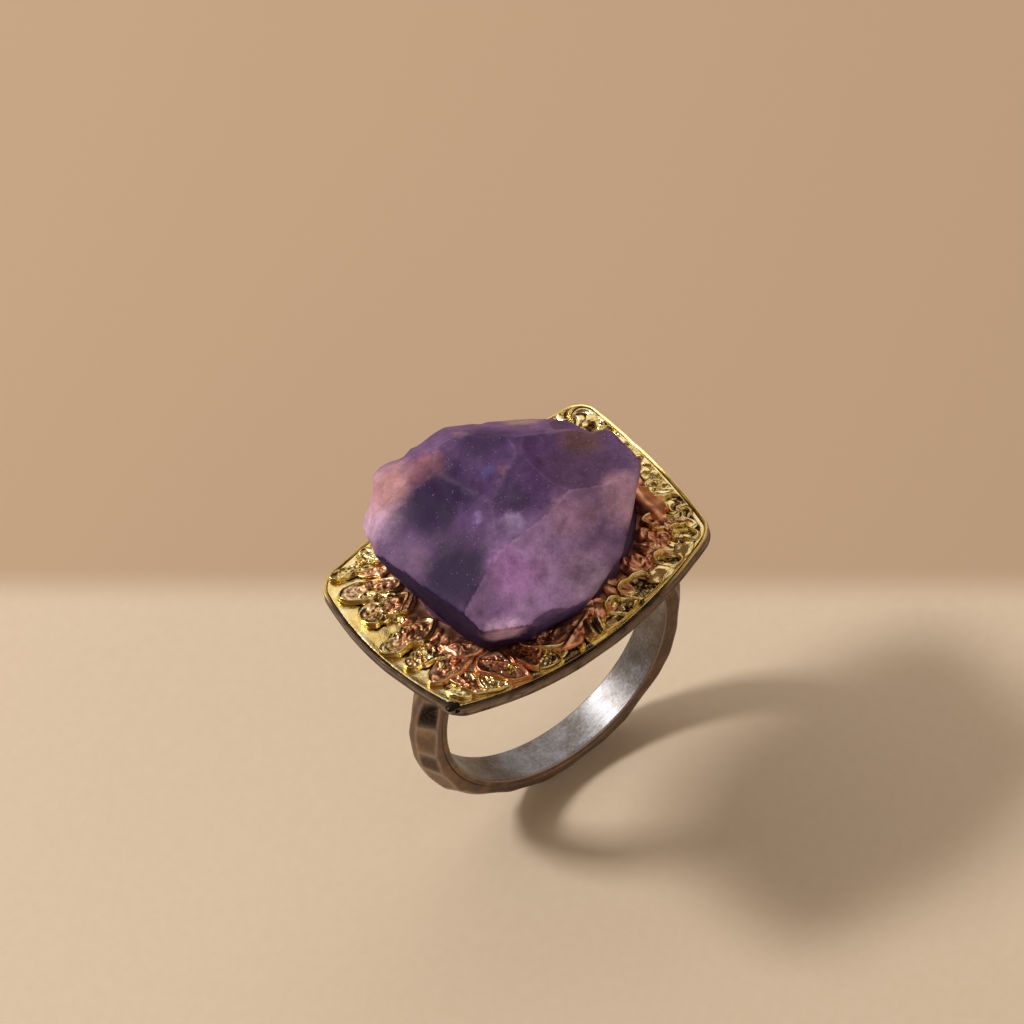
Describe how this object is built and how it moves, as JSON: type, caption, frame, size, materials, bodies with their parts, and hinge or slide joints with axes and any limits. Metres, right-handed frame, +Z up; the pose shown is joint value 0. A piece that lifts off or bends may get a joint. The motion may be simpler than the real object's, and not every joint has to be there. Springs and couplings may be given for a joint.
{
  "type": "cocktail ring",
  "caption": "Hammered closed band under a dished cushion-shaped tray of gold and rose-gold scraps, set with a large rough amethyst.",
  "frame": {"origin": "centre of the finger bore, halfway along its width", "axes": "+Y along the finger, towards the back of the tray; +Z up from the finger to the stone; +X along the tray's long edge, to the wearer's right"},
  "size_m": [0.0226, 0.0174, 0.029],
  "materials": {
    "oxidised_silver": "hammered, oxidised and rubbed back",
    "silver_solder": "oxidised solder",
    "gold_plate": "polished gold plating",
    "rose_gold": "fused rose-gold scraps with dark hollows",
    "jeweller_cement": "dark glossy epoxy",
    "amethyst": "frosted rough faces, slightly translucent"
  },
  "bodies": {
    "root": {"hammered_band": "oxidised_silver", "solder_fillet_left": "silver_solder", "solder_fillet_right": "silver_solder", "base_plate": "oxidised_silver", "rim_strip": "oxidised_silver", "rim_seam_solder": "silver_solder", "gold_plate": "gold_plate", "cement_bed": "jeweller_cement", "amethyst": "amethyst", "gold_scraps_left": "gold_plate", "gold_scraps_front": "gold_plate", "gold_scraps_right": "gold_plate", "gold_scraps_back": "gold_plate", "rose_scraps_left": "rose_gold", "rose_scraps_front": "rose_gold", "rose_scraps_right": "rose_gold", "rose_scraps_back": "rose_gold", "rose_claw": "rose_gold"}
  },
  "joints": []
}
